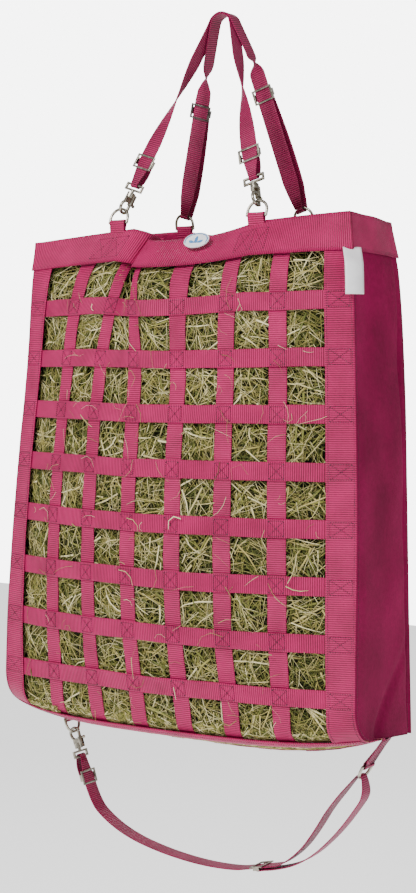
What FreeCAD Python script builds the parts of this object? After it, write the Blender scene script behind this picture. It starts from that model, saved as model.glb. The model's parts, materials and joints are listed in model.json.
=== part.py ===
"""Webbing hay net on a two-strap hanger: a parametric FreeCAD document, in millimetres.

Frame: +Z up, the net's front faces -Y, +X is to the right seen from the front. The origin is on the
axis of the hook or rail that the hanging straps pass over.
"""
import FreeCAD, Part
import math
import os
import Sketcher
from FreeCAD import Placement, Rotation, Vector

os.makedirs("parts", exist_ok=True)
doc = FreeCAD.newDocument("HayNet")

X, Y, Z = Vector(1, 0, 0), Vector(0, 1, 0), Vector(0, 0, 1)
ORIGIN = Vector(0, 0, 0)

# ---------------------------------------------------------------- driving dimensions
SIZES = {
    # webbing and cloth
    "strap_width": 25.4,
    "strap_thick": 1.6,
    "band_height": 50.0,
    "border_width": 38.0,
    "mesh_gap": 50.8,
    "layer_gap": 0.4,
    "cloth_thick": 1.2,
    "panel_fall": 0.975,
    "rim_drop": 283.0,
    "lower_edge": 22.0,
    "floor_sag": 12.0,
    # hanger
    "hook_radius": 16.0,
    "front_ring_x": 116.0,
    "back_ring_x": 103.0,
    "front_glide_up": 34.0,
    "left_glide_drop": 114.0,
    "right_glide_drop": 98.0,
    # lower strap
    "lower_ring_x": 256.0,
    "lower_ring_y": -36.0,
    "lower_ring_drop": 1018.0,
    # welded D-ring
    "ring_wire": 4.0,
    "ring_half": 15.0,
    "ring_leg": 6.0,
    # swivel snap
    "hook_wire": 4.5,
    "hook_bend": 9.0,
    "gate_offset": 7.2,
    "barrel_dia": 8.4,
    "barrel_bore": 5.2,
    "gate_dia": 4.6,
    "gate_travel": 6.5,
    "boss_dia": 12.0,
    "stem_dia": 4.84,
    "stem_bore": 5.0,
    "eye_width": 32.0,
    "eye_slot": 26.4,
    "spring_wire": 0.6,
    "spring_dia": 4.4,
    # strap slides
    "slide_width": 33.0,
    "slide_slot": 26.6,
    "slide_length": 21.0,
    "slide_bar": 2.6,
}

sheet = doc.addObject("Spreadsheet::Sheet", "Sizes")
for row, (alias, number) in enumerate(SIZES.items(), start=1):
    sheet.set("A%d" % row, alias)
    sheet.set("B%d" % row, str(number))
    sheet.setAlias("B%d" % row, alias)
doc.recompute()


def size(alias):
    """One driving dimension, read back from the sheet."""
    return float(sheet.get(alias))


THICK = size("strap_thick")
WIDTH = size("strap_width")
GAP = size("layer_gap")
PITCH = size("mesh_gap") + WIDTH
COLUMNS, ROWS = 7, 9
PANEL_WIDTH = COLUMNS * size("mesh_gap") + (COLUMNS - 1) * WIDTH + 2 * size("border_width")
PANEL_HEIGHT = size("band_height") + ROWS * PITCH - WIDTH + size("lower_edge")
RIM_Z = -size("rim_drop")

# How the hung, filled bag stands at some depths below its rim:
# depth, then half width, corner y and bulge of the front, then the same for the back.
STANCE = (
    (0.0, 243.0, -84.0, 14.0, 230.0, 66.0, -26.0),
    (75.0, 258.0, -96.0, 58.0, 240.0, 78.0, 0.0),
    (228.0, 273.0, -109.0, 64.0, 248.0, 83.0, 14.0),
    (380.0, 284.0, -122.0, 66.0, 252.0, 84.0, 20.0),
    (560.0, 290.0, -133.0, 54.0, 256.0, 85.0, 20.0),
    (PANEL_HEIGHT, 290.0, -136.0, 18.0, 262.0, 84.0, 10.0),
)
FRONT, BACK = -1, 1

parts = []


def keep(thing, name):
    """Label an object as one of the net's pieces."""
    thing.Label = name
    parts.append(thing)
    return thing


def stance(side, depth):
    """Half width, corner y and bulge of one face at a depth below the rim."""
    first = 1 if side == FRONT else 4
    for upper, lower in zip(STANCE, STANCE[1:]):
        if depth <= lower[0] + 1e-6:
            share = (depth - upper[0]) / (lower[0] - upper[0])
            return [a + (b - a) * share for a, b in zip(upper[first:first + 3], lower[first:first + 3])]
    return list(STANCE[-1][first:first + 3])


def face_point(side, across, depth, inset=0.0):
    """A point of the front or back face: across runs from -1 to 1, inset goes into the bag."""
    half, corner, bulge = stance(side, depth)
    y = corner + side * bulge * (1 - across * across) - side * inset
    return Vector(half * across, y, RIM_Z - size("panel_fall") * depth)


def quad_loft(quads):
    """A closed solid of straight facets through four-cornered sections."""
    wires = [Part.makePolygon(list(quad) + [quad[0]]) for quad in quads]
    return Part.makeLoft(wires, True, True)


def feature(name, shape):
    """One cloth piece, whose section changes along its length, as a plain shape."""
    piece = doc.addObject("Part::Feature", name)
    piece.Shape = shape
    piece.Placement = Placement()
    return keep(piece, name)


# ---------------------------------------------------------------- the net's faces
def across_of(flat_x):
    """Place across a face, from -1 to 1, of a distance measured along the flat panel."""
    return flat_x / (PANEL_WIDTH / 2)


def upright_centres():
    """Flat distances of the six upright straps from the panel's middle."""
    return [(column - (COLUMNS - 1) / 2 + 0.5) * PITCH for column in range(COLUMNS - 1)]


def band_stations():
    """Places across a face where a cross strap is faceted: its ends and the uprights' edges."""
    edge = PANEL_WIDTH / 2
    flat = [-edge + 2, -edge + size("border_width")]
    for centre in upright_centres():
        flat += [centre - WIDTH / 2, centre + WIDTH / 2]
    flat += [edge - size("border_width"), edge - 2]
    return [across_of(x) for x in flat]


def cross_band(side, top, bottom):
    """A strap that runs across a face, between two depths."""
    quads = []
    for across in band_stations():
        quads.append([face_point(side, across, top), face_point(side, across, top, THICK),
                      face_point(side, across, bottom, THICK), face_point(side, across, bottom)])
    return quad_loft(quads)


def upright_band(side, left, right, top=4.0, bottom=PANEL_HEIGHT - 4.0):
    """A strap that runs down a face behind the cross straps, between two flat distances."""
    depths = sorted({top, bottom} | {row[0] for row in STANCE if top < row[0] < bottom})
    inset = THICK + GAP
    quads = []
    for depth in depths:
        a, b = across_of(left), across_of(right)
        quads.append([face_point(side, a, depth, inset), face_point(side, a, depth, inset + THICK),
                      face_point(side, b, depth, inset + THICK), face_point(side, b, depth, inset)])
    return quad_loft(quads)


def row_top(row):
    """Depth of the upper edge of a cross strap, counted from 1 at the top."""
    return size("band_height") + row * size("mesh_gap") + (row - 1) * WIDTH


for row in range(1, ROWS):
    strap = cross_band(FRONT, row_top(row), row_top(row) + WIDTH)
    feature("front_cross_strap_%d" % row, strap)
for column, centre in enumerate(upright_centres(), start=1):
    strap = upright_band(FRONT, centre - WIDTH / 2, centre + WIDTH / 2)
    feature("front_upright_strap_%d" % column, strap)

feature("back_cross_straps", Part.makeCompound(
    [cross_band(BACK, row_top(row), row_top(row) + WIDTH) for row in range(1, ROWS)]))
feature("back_upright_straps", Part.makeCompound(
    [upright_band(BACK, c - WIDTH / 2, c + WIDTH / 2) for c in upright_centres()]))

edge = PANEL_WIDTH / 2
borders = []
for side, face in ((FRONT, "front"), (BACK, "back")):
    borders.append(upright_band(side, -edge + 3, -edge + size("border_width")))
    borders.append(upright_band(side, edge - size("border_width"), edge - 3))
    feature("top_band_" + face, cross_band(side, 0, size("band_height")))
feature("border_straps", Part.makeCompound(borders))
feature("lower_edge_straps", Part.makeCompound(
    [cross_band(side, PANEL_HEIGHT - size("lower_edge") + GAP, PANEL_HEIGHT) for side in (FRONT, BACK)]))


# ---------------------------------------------------------------- sides, floor and filling
SIDE_CLEAR = 5.0


def side_quads(sign, depths, outset, thick):
    """Sections of a cloth side, from its front edge to its back edge."""
    quads = []
    for depth in depths:
        front = face_point(FRONT, sign, depth) + Y * SIDE_CLEAR
        back = face_point(BACK, sign, depth) - Y * SIDE_CLEAR
        outer, inner = X * sign * outset, X * sign * (outset - thick)
        quads.append([front + outer, back + outer, back + inner, front + inner])
    return quads


for sign, hand in ((-1, "left"), (1, "right")):
    depths = [size("band_height") - 12] + [row[0] for row in STANCE[1:]]
    feature("side_panel_" + hand, quad_loft(side_quads(sign, depths, 0.0, size("cloth_thick"))))
feature("top_band_sides", Part.makeCompound(
    [quad_loft(side_quads(sign, (0, size("band_height")), THICK + GAP, THICK)) for sign in (-1, 1)]))


def floor_point(across, along, lift=0.0):
    """A point of the sagging floor: across from -1 to 1, along from 0 at the front to 1."""
    front = face_point(FRONT, across, PANEL_HEIGHT - 3, 2.5)
    back = face_point(BACK, across, PANEL_HEIGHT - 3, 2.5)
    sag = size("floor_sag") * (1 - across ** 2) * 4 * along * (1 - along)
    return front + (back - front) * along + Z * (lift - sag)


def floor_strap(stations, width_step, lift):
    """A floor strap through (across, along) stations, widened by width_step on each side."""
    quads = []
    for across, along in stations:
        low = [floor_point(across + width_step[0] * s, along + width_step[1] * s, lift) for s in (-1, 1)]
        quads.append([low[0], low[1], low[1] + Z * THICK, low[0] + Z * THICK])
    return quad_loft(quads)


FLOOR_STEPS = [step / 8 for step in range(9)]
FLOOR_DEPTH = 200.0
floor_straps = []
for centre in upright_centres():
    route = [(across_of(centre), 0.01 + 0.98 * step) for step in FLOOR_STEPS]
    floor_straps.append(floor_strap(route, (across_of(WIDTH / 2), 0), THICK + 2 * GAP))
for along in (0.34, 0.66):
    route = [(across, along) for across in band_stations()]
    floor_straps.append(floor_strap(route, (0, WIDTH / 2 / FLOOR_DEPTH), 0.0))
feature("floor_straps", Part.makeCompound(floor_straps))

HAY_TOP, HAY_CLEAR = 36.0, 7.0


def hay_section(depth, shrink=1.0):
    """The outline of the packed hay at a depth, clear of the straps round it."""
    spread = [step / 4 for step in range(-4, 5)]
    front = [face_point(FRONT, 0.955 * a, depth, HAY_CLEAR) for a in spread]
    back = [face_point(BACK, 0.955 * a, depth, HAY_CLEAR) for a in reversed(spread)]
    middle = Vector(0, -20, front[0].z)
    outline = [middle + (point - middle) * shrink for point in front + back]
    return Part.makePolygon(outline + [outline[0]])


hay_depths = [HAY_TOP + 14, 120, 228, 380, 560, PANEL_HEIGHT - 45]
hay_wires = [hay_section(HAY_TOP, 0.86)] + [hay_section(d) for d in hay_depths]
hay_wires.append(hay_section(PANEL_HEIGHT - 18, 0.93))
feature("hay_fill", Part.makeLoft(hay_wires, True, True))


# ---------------------------------------------------------------- frames that the hardware sits in
def frame_at(place, pull, bar):
    """Placement with +Z along pull and +X as near as it can be to bar."""
    up = Vector(pull).normalize()
    side = (bar - up * bar.dot(up)).normalize()
    return Placement(place, Rotation(side, up.cross(side), up, "ZXY"))


HOOK_REST = -4.0
TAB_RISE = 5.0
TAB_STAND = THICK + 2.0


class RingPlace:
    """A D-ring on its tab, and the frames of what pulls on it."""

    def __init__(self, foot, pull, bar):
        self.up = Vector(pull).normalize()
        self.bar = bar
        self.ring = frame_at(foot, self.up - bar * self.up.dot(bar), bar)
        self.across = (bar - self.up * bar.dot(self.up)).normalize()
        self.normal = self.up.cross(self.across)
        bend_centre = self.ring.multVec(Vector(0, 0, size("ring_leg")))
        self.crown = bend_centre + self.up * size("ring_half")
        turn = Rotation(self.normal, self.up.cross(self.normal), self.up, "ZXY")
        self.snap = Placement(self.crown - self.up * HOOK_REST, turn)


def ring_foot(side, x):
    """Middle of a D-ring's straight bar above the rim, just outside the band."""
    across = x / stance(side, 0)[0]
    return face_point(side, across, 0, -TAB_STAND) + Z * TAB_RISE


front_rings, back_rings = {}, {}
for sign, hand in ((-1, "left"), (1, "right")):
    foot = ring_foot(FRONT, sign * size("front_ring_x"))
    front_rings[hand] = RingPlace(foot, Vector(sign * 18, 0, 0) - foot, X)
    foot = ring_foot(BACK, sign * size("back_ring_x"))
    back_rings[hand] = RingPlace(foot, Vector(sign * 18, 0, 0) - foot, X)
lower_rings = {}
for sign, hand, lean in ((-1, "left", 0.34), (1, "right", 0.52)):
    foot = Vector(sign * size("lower_ring_x"), size("lower_ring_y"), -size("lower_ring_drop"))
    lower_rings[hand] = RingPlace(foot, Vector(-sign * lean, 0, -1), Y)


# ---------------------------------------------------------------- PartDesign helpers
def new_body(name, placement):
    """An empty body, placed where its piece belongs."""
    body = doc.addObject("PartDesign::Body", name)
    body.Placement = placement
    return keep(body, name)


def plane(body, role):
    """One of the body's own origin planes."""
    return next(item for item in body.Origin.OriginFeatures if item.Role == role)


def primitive(body, kind, offset, **expressions):
    """Add or cut one primitive, its sizes bound to the sheet."""
    item = body.newObject("PartDesign::" + kind, kind)
    item.AttachmentSupport = [(plane(body, "XY_Plane"), "")]
    item.MapMode = "FlatFace"
    item.AttachmentOffset = offset
    for prop, text in expressions.items():
        item.setExpression(prop, text)
    return item


def rod(body, start, direction, radius, length, kind="AdditiveCylinder"):
    """A cylinder from a start point along a direction."""
    offset = Placement(start, Rotation(Z, direction))
    return primitive(body, kind, offset, Radius=radius, Height=length)


def box(body, corner, length, width, height, kind="AdditiveBox"):
    """A box from its lowest corner."""
    return primitive(body, kind, Placement(corner, Rotation()), Length=length, Width=width, Height=height)


def dimension(sketch, index, expression):
    """Bind one sketch constraint to the sheet."""
    sketch.setExpression("Constraints[%d]" % index, expression)


def rectangle(sketch, width, height, width_text, height_text):
    """A rectangle centred on the sketch's origin, its sides bound to the sheet."""
    half_w, half_h = width / 2, height / 2
    corners = [Vector(-half_w, -half_h, 0), Vector(half_w, -half_h, 0),
               Vector(half_w, half_h, 0), Vector(-half_w, half_h, 0)]
    first = sketch.GeometryCount
    for start, end in zip(corners, corners[1:] + corners[:1]):
        sketch.addGeometry(Part.LineSegment(start, end), False)
    for k in range(4):
        sketch.addConstraint(Sketcher.Constraint("Coincident", first + k, 2, first + (k + 1) % 4, 1))
    for k, way in enumerate(("Horizontal", "Vertical", "Horizontal", "Vertical")):
        sketch.addConstraint(Sketcher.Constraint(way, first + k))
    sketch.addConstraint(Sketcher.Constraint("Symmetric", first, 1, first + 1, 2, -1, 1))
    dimension(sketch, sketch.addConstraint(
        Sketcher.Constraint("DistanceX", first, 1, first, 2, width)), width_text)
    dimension(sketch, sketch.addConstraint(
        Sketcher.Constraint("DistanceY", first + 1, 1, first + 1, 2, height)), height_text)


def frame_sketch(body, role, offset, outer, inner):
    """A sketch of one rectangle inside another, on an origin plane of the body."""
    sketch = body.newObject("Sketcher::SketchObject", "FrameSketch")
    sketch.AttachmentSupport = [(plane(body, role), "")]
    sketch.MapMode = "FlatFace"
    sketch.AttachmentOffset = Placement(offset, Rotation())
    rectangle(sketch, *outer)
    rectangle(sketch, *inner)
    return sketch


def round_edges(body, base, radius, pick):
    """Fillet the edges that pick accepts."""
    doc.recompute()
    names = ["Edge%d" % (k + 1) for k, e in enumerate(base.Shape.Edges) if pick(e)]
    fillet = body.newObject("PartDesign::Fillet", "Rounded")
    fillet.Base = (base, names)
    fillet.Radius = radius
    body.Tip = fillet


# ---------------------------------------------------------------- D-rings
def d_ring(name, placement):
    """A welded D-ring: a straight bar along X, two short legs and a half-round crown above."""
    body = new_body(name, placement)
    wire, half, leg = "Sizes.ring_wire / 2", size("ring_half"), size("ring_leg")
    rod(body, Vector(-half, 0, 0), X, wire, "Sizes.ring_half * 2")
    for sign in (-1, 1):
        corner = Placement(Vector(sign * half, 0, 0), Rotation())
        primitive(body, "AdditiveSphere", corner, Radius=wire)
        rod(body, Vector(sign * half, 0, 0), Z, wire, "Sizes.ring_leg")
    crown = Placement(Vector(0, 0, leg), Rotation(X, 90))
    primitive(body, "AdditiveTorus", crown, Radius1="Sizes.ring_half", Radius2=wire, Angle3="180")
    return body


# ---------------------------------------------------------------- swivel snaps
WEB_BOTTOM, BOSS_BOTTOM, BOSS_TOP, BARREL_TOP = 7.5, 14.0, 22.0, 21.0
BARREL_BOTTOM, NOSE_BOTTOM, NOSE_TOP = 5.0, -7.5, -3.5
GATE_SHOULDER, TAIL_TOP, SPRING_SEAT = 8.0, 11.0, 19.0
EYE_BOTTOM, EYE_TALL, EYE_BAR = 25.0, 11.0, 3.0
EYE_BAR_Z = EYE_BOTTOM + EYE_TALL - EYE_BAR / 2
THUMB_Z = 6.9
GATE_X = size("gate_offset")


def snap_body(name, placement):
    """The hook, its web, the swivel boss and the barrel that guides the gate bolt."""
    body = new_body(name, placement)
    rod(body, Vector(0, 0, BOSS_BOTTOM), Z, "Sizes.boss_dia / 2", str(BOSS_TOP - BOSS_BOTTOM))
    box(body, Vector(-6.5, -2.2, WEB_BOTTOM), "Sizes.gate_offset + 6.5", "4.4", "8")
    rod(body, Vector(GATE_X, 0, BARREL_BOTTOM), Z, "Sizes.barrel_dia / 2",
        str(BARREL_TOP - BARREL_BOTTOM))
    bend = Placement(ORIGIN, Rotation(Y, -90) * Rotation(X, 90))
    primitive(body, "AdditiveTorus", bend, Radius1="Sizes.hook_bend",
              Radius2="Sizes.hook_wire / 2", Angle3="230")
    rod(body, Vector(GATE_X, 0, NOSE_BOTTOM), Z, "2.6", str(NOSE_TOP - NOSE_BOTTOM))
    rod(body, Vector(GATE_X, 0, BARREL_BOTTOM - 1), Z, "Sizes.barrel_bore / 2",
        str(SPRING_SEAT - BARREL_BOTTOM + 1), "SubtractiveCylinder")
    box(body, Vector(GATE_X, -2.0, BARREL_BOTTOM - 1), "6", "4", "12.4", "SubtractiveBox")
    rod(body, Vector(0, 0, BOSS_BOTTOM + 1), Z, "4.3", "2.3", "SubtractiveCylinder")
    rod(body, Vector(0, 0, BOSS_BOTTOM + 3), Z, "Sizes.stem_bore / 2", "8", "SubtractiveCylinder")
    return body


def snap_gate(name, placement):
    """The spring bolt that closes the hook, with its tail and thumb piece."""
    body = new_body(name, placement)
    tip = NOSE_TOP + 0.3
    rod(body, Vector(GATE_X, 0, tip), Z, "Sizes.gate_dia / 2", str(GATE_SHOULDER - tip))
    rod(body, Vector(GATE_X, 0, GATE_SHOULDER - 1), Z, "1.1", str(TAIL_TOP - GATE_SHOULDER + 1))
    rod(body, Vector(GATE_X, 0, THUMB_Z), X, "1.6", "7")
    thumb = Placement(Vector(GATE_X + 7.2, 0, THUMB_Z), Rotation())
    primitive(body, "AdditiveSphere", thumb, Radius="2.5")
    return body


def snap_spring(name, placement):
    """The coil spring behind the gate bolt, inside the barrel."""
    wire = size("spring_wire") / 2
    coil_radius = size("spring_dia") / 2 - wire
    low, high = GATE_SHOULDER + 0.4 + wire, SPRING_SEAT - 0.2 - wire
    helix = Part.makeHelix((high - low) / 6, high - low, coil_radius)
    circle = Part.Wire(Part.makeCircle(wire, Vector(coil_radius, 0, 0), Y))
    coil = Part.Wire(helix.Edges).makePipeShell([circle], True, True)
    piece = doc.addObject("Part::Feature", name)
    piece.Shape = coil
    piece.Placement = placement * Placement(Vector(GATE_X, 0, low), Rotation())
    return keep(piece, name)


def snap_eye(name, placement):
    """The webbing eye and its riveted swivel stem."""
    body = new_body(name, placement)
    middle = EYE_BOTTOM + EYE_TALL / 2
    sketch = frame_sketch(body, "YZ_Plane", Vector(0, middle, -2.0),
                          (size("eye_width"), EYE_TALL, "Sizes.eye_width", str(EYE_TALL)),
                          (size("eye_slot"), EYE_TALL - 2 * EYE_BAR, "Sizes.eye_slot",
                           str(EYE_TALL - 2 * EYE_BAR)))
    loop = body.newObject("PartDesign::Pad", "Loop")
    loop.Profile = sketch
    loop.Length = 4
    round_edges(body, loop, 0.9, lambda e: e.Length > 4.5)
    rod(body, Vector(0, 0, 16), Z, "Sizes.stem_dia / 2", str(EYE_BOTTOM + 1 - 16))
    rod(body, Vector(0, 0, BOSS_BOTTOM + 1.3), Z, "4", "1.7")
    return body


# ---------------------------------------------------------------- strap slides
def strap_slide(name, placement):
    """A three-bar slide: end bars before the strap, the middle bar behind it, rails beside it."""
    body = new_body(name, placement)
    length, bar = size("slide_length"), size("slide_bar")
    sketch = frame_sketch(body, "XZ_Plane", Vector(0, 0, THICK / 2 + 0.3),
                          (size("slide_width"), length, "Sizes.slide_width", "Sizes.slide_length"),
                          (size("slide_slot"), length - 2 * bar, "Sizes.slide_slot",
                           "Sizes.slide_length - 2 * Sizes.slide_bar"))
    plate = body.newObject("PartDesign::Pad", "Plate")
    plate.Profile = sketch
    plate.Length = 2
    round_edges(body, plate, 0.7, lambda e: e.Length > 3)
    rail = (size("slide_width") - size("slide_slot")) / 2
    depth = THICK + 0.6 + 2.4
    for sign in (-1, 1):
        middle = sign * (size("slide_slot") / 2 + rail / 2)
        box(body, Vector(middle - rail / 2 + 0.3, -THICK / 2 - 1.0, -5), str(rail - 0.6), str(depth), "10")
    rod(body, Vector(-size("slide_slot") / 2 - 1, THICK / 2 + 1.5, 0), X, "1.1",
        "Sizes.slide_slot + 2")
    return body


# ---------------------------------------------------------------- ring tabs
def ring_tab(placement, leg_drop):
    """A folded webbing tab: an eye round the ring's bar and two layers hanging from it."""
    bore = size("ring_wire") / 2 + 0.35
    outer = Part.makeCylinder(bore + THICK, WIDTH, Vector(-WIDTH / 2, 0, 0), X)
    leg = Part.makeBox(WIDTH, 2 * THICK, leg_drop, Vector(-WIDTH / 2, -THICK, -leg_drop))
    fold = outer.fuse(leg)
    fold = fold.cut(Part.makeCylinder(bore, WIDTH + 2, Vector(-WIDTH / 2 - 1, 0, 0), X))
    fold.Placement = placement
    return fold


def tab_group(name, tabs):
    """Several tabs in one node, each its own solid."""
    piece = doc.addObject("Part::Feature", name)
    piece.Shape = Part.makeCompound(tabs)
    piece.Placement = Placement()
    return keep(piece, name)


# ---------------------------------------------------------------- strap ribbons
def ribbon(stations, thick=THICK):
    """A flat strap through stations of centre, width direction, face direction and width."""
    quads = []
    for centre, along_width, normal, width in stations:
        w, n = along_width * (width / 2), normal * (thick / 2)
        quads.append([centre - w - n, centre + w - n, centre + w + n, centre - w + n])
    return quad_loft(quads)


def square_to(width_way, run):
    """The part of a wished width direction that is square to a run."""
    return (width_way - run * width_way.dot(run)).normalize()


def twisted_run(start, end, width_start, strap_end, hold, settle):
    """Stations down a straight run whose width turns between two shares of its length."""
    run = (end - start).normalize()
    first, last = square_to(width_start, run), square_to(strap_end.width, run)
    turn = math.degrees(math.atan2(run.dot(first.cross(last)), first.dot(last)))
    narrow_from = 1 - 34.0 / (end - start).Length
    shares = [0.0] + [hold + (settle - hold) * k / 6 for k in range(7)] + [narrow_from, 1.0]
    stations = []
    for share in shares:
        eased = min(1.0, max(0.0, (share - hold) / (settle - hold)))
        way = Rotation(run, turn * eased).multVec(first)
        width = strap_end.grip if share == 1.0 else WIDTH
        stations.append((start + (end - start) * share, way, way.cross(run), width))
    return stations


def tangent_angle(target, radius, sign):
    """Angle at which a strap leaves a circle about the origin towards a target in the XZ plane."""
    reach = math.hypot(target.x, target.z)
    return math.atan2(target.z, target.x) + sign * math.acos(radius / reach)


def hang_arc(radius, left, right):
    """The two ends of the bend over the hook, at the left leaving angle and the right one."""
    stations = []
    for angle in (left, right):
        outward = Vector(math.cos(angle), 0, math.sin(angle))
        stations.append((outward * radius, Y, outward * -1, WIDTH))
    return stations


class StrapEnd:
    """Where a strap turns round a bar: its two layers lie either side of it."""

    def __init__(self, centre, width_way, up, bar_radius, clearance, grip):
        self.centre, self.width, self.up, self.grip = centre, width_way, up, grip
        self.normal = width_way.cross(up).normalize()
        self.turn = bar_radius + clearance + THICK / 2
        self.front = centre - self.normal * self.turn

    def return_layer(self, route, spread=24.0):
        """The strap's end round the bar and back through a route of points."""
        stations = []
        for k in range(9):
            angle = math.radians(12 + 19.5 * k)
            out = self.normal * -math.cos(angle) - self.up * math.sin(angle)
            stations.append((self.centre + out * self.turn, self.width, out, self.grip))
        last = stations[-1][0]
        for k, point in enumerate(route):
            run = (point - last).normalize()
            onward = (route[k + 1] - point).normalize() if k + 1 < len(route) else run
            way = square_to(self.width, (run + onward).normalize())
            stations.append((point, way, way.cross((run + onward).normalize()), WIDTH))
            last = point
        return ribbon(stations)


def snap_end(place, width_way):
    """The strap end at a snap's eye."""
    centre = place.snap.multVec(Vector(0, 0, EYE_BAR_Z))
    return StrapEnd(centre, width_way, place.up, 2.2, 0.7, WIDTH)


def ring_end(place, width_way):
    """The strap end at a D-ring's crown, where the webbing bunches up."""
    return StrapEnd(place.crown, width_way, place.up, size("ring_wire") / 2, 2.6, 12.0)


def slide_frame(end, target, up_by):
    """Frame of a slide on the front layer, up_by from the bar towards the target."""
    run = (target - end.front).normalize()
    return frame_at(end.front + run * up_by, run, end.width * -1)


def short_return(end, slide):
    """A return layer that ends just under its slide's middle bar."""
    toward = slide.multVec(Vector(0, THICK + 2 * GAP, -BAR_STOP))
    start = end.centre + end.normal * end.turn + end.up * 8
    return end.return_layer([start, toward])


BAR_STOP = 8.0
INNER_R = size("hook_radius") + THICK / 2
OUTER_R = INNER_R + THICK + GAP
SPLIT = 52.0
ends = {hand: snap_end(front_rings[hand], front_rings[hand].across * -1) for hand in ("left", "right")}
back_ends = {hand: ring_end(back_rings[hand], back_rings[hand].across * -1) for hand in ("left", "right")}


def over_hook(left_end, right_aim, radius):
    """The bend over the hook between a left end and a right aiming point."""
    left = (tangent_angle(left_end.front, radius, -1)) % (2 * math.pi)
    return hang_arc(radius, left, tangent_angle(right_aim, radius, 1))


def bent_strap(run_up, arc, run_down):
    """One strap: a run up to the hook, a true arc of strap over it and a run down again."""
    first, last = arc[0][0], arc[-1][0]
    sweep = math.degrees(math.atan2(first.z, first.x) - math.atan2(last.z, last.x))
    w, n = Y * (WIDTH / 2), (first * 1).normalize() * (THICK / 2)
    corners = [first - w - n, first + w - n, first + w + n, first - w + n]
    bend = Part.Face(Part.makePolygon(corners + corners[:1])).revolve(Vector(), Y, sweep)
    return ribbon(run_up + arc[:1]).fuse(bend).fuse(ribbon(arc[-1:] + run_down))


def upward(stations):
    """The same stations read from the far end, with faces kept on the strap's own side."""
    return [(centre, way, normal * -1, width) for centre, way, normal, width in reversed(stations)]


# The inner strap runs from the back left ring to the front right snap.
inner_arc = over_hook(back_ends["left"], ends["right"].front, INNER_R)
inner_left = twisted_run(inner_arc[0][0], back_ends["left"].front, Y, back_ends["left"], 0.22, 0.36)
inner_right = twisted_run(inner_arc[-1][0], ends["right"].front, Y, ends["right"], 0.25, 0.76)
feature("hanging_strap_inner", bent_strap(upward(inner_left[1:]), inner_arc, inner_right[1:]))

# The outer strap crosses it, from the front left snap to the back right ring.
beside = inner_arc[-1][0] + (ends["right"].front - inner_arc[-1][0]).normalize() * SPLIT
guide = Vector(beside.x + THICK + GAP + 1.6, 13.0, beside.z)
outer_arc = over_hook(ends["left"], guide, OUTER_R)
outer_left = twisted_run(outer_arc[0][0], ends["left"].front, Y, ends["left"], 0.25, 0.76)
outer_right = twisted_run(guide, back_ends["right"].front, Y, back_ends["right"], 0.02, 0.12)
feature("hanging_strap_outer", bent_strap(upward(outer_left[1:]), outer_arc, outer_right))


def run_share(top, bottom, drop):
    """Distance up from the bottom of a run at which it lies a drop below the hook."""
    return (bottom - top).Length * (bottom.z + drop) / (bottom.z - top.z)


slides = {
    "keeper_slide_left": slide_frame(ends["left"], outer_arc[0][0], size("front_glide_up")),
    "keeper_slide_right": slide_frame(ends["right"], inner_arc[-1][0], size("front_glide_up")),
}
for hand, top in (("left", inner_arc[0][0]), ("right", guide)):
    end = back_ends[hand]
    reach = run_share(top, end.front, size(hand + "_glide_drop"))
    slides["tri_glide_" + hand] = slide_frame(end, top, reach)
feature("snap_end_loops", Part.makeCompound(
    [short_return(ends[hand], slides["keeper_slide_" + hand]) for hand in ("left", "right")]))
feature("ring_end_layers", Part.makeCompound(
    [short_return(back_ends[hand], slides["tri_glide_" + hand]) for hand in ("left", "right")]))

# ---------------------------------------------------------------- the lower strap
lower_snap_end = snap_end(lower_rings["left"], Y)
lower_ring_end = ring_end(lower_rings["right"], Y * -1)
LOWER_ROUTE = ((-214, -1136), (-180, -1163), (-138, -1181), (-92, -1191), (-44, -1197), (4, -1199),
               (50, -1196), (124, -1177), (156, -1151), (181, -1116), (203, -1079))
lower_y = size("lower_ring_y")
lower_points = [lower_snap_end.front]
lower_points += [Vector(x, lower_y, z) for x, z in LOWER_ROUTE]
lower_points.append(lower_ring_end.front)


def rounded_stations(points, width_way):
    """Stations along straight runs joined by tangent arcs, each as large as its runs allow."""
    stations, radii = [], []

    def add(point, run, width=WIDTH):
        stations.append((point, width_way, width_way.cross(run).normalize(), width))

    add(points[0], points[1] - points[0])
    for before, here, after in zip(points, points[1:], points[2:]):
        come, leave = (here - before), (after - here)
        shorter = 0.45 * min(come.Length, leave.Length)
        come.normalize()
        leave.normalize()
        half_turn = math.acos(max(-1.0, min(1.0, come.dot(leave)))) / 2
        radius = shorter / math.tan(half_turn)
        radii.append(round(radius, 1))
        inward = (leave - come).normalize()
        centre = here + inward * (radius / math.cos(half_turn))
        side = (here - come * shorter) - centre
        axis = come.cross(leave).normalize()
        for k in range(5):
            arm = Rotation(axis, math.degrees(2 * half_turn) * k / 4).multVec(side)
            add(centre + arm, axis.cross(arm))
    add(points[-1], points[-1] - points[-2])
    print("lower strap bend radii, mm:", radii)
    return stations


lower_stations = rounded_stations(lower_points, Y)
last_point, last_way, last_normal, _ = lower_stations[-1]
narrow = lower_points[-2] + (lower_points[-1] - lower_points[-2]) * 0.5
lower_stations[-1] = (narrow, last_way, last_normal, WIDTH)
lower_stations.append((last_point, last_way, last_normal, lower_ring_end.grip))
feature("lower_strap", ribbon(lower_stations))

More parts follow.
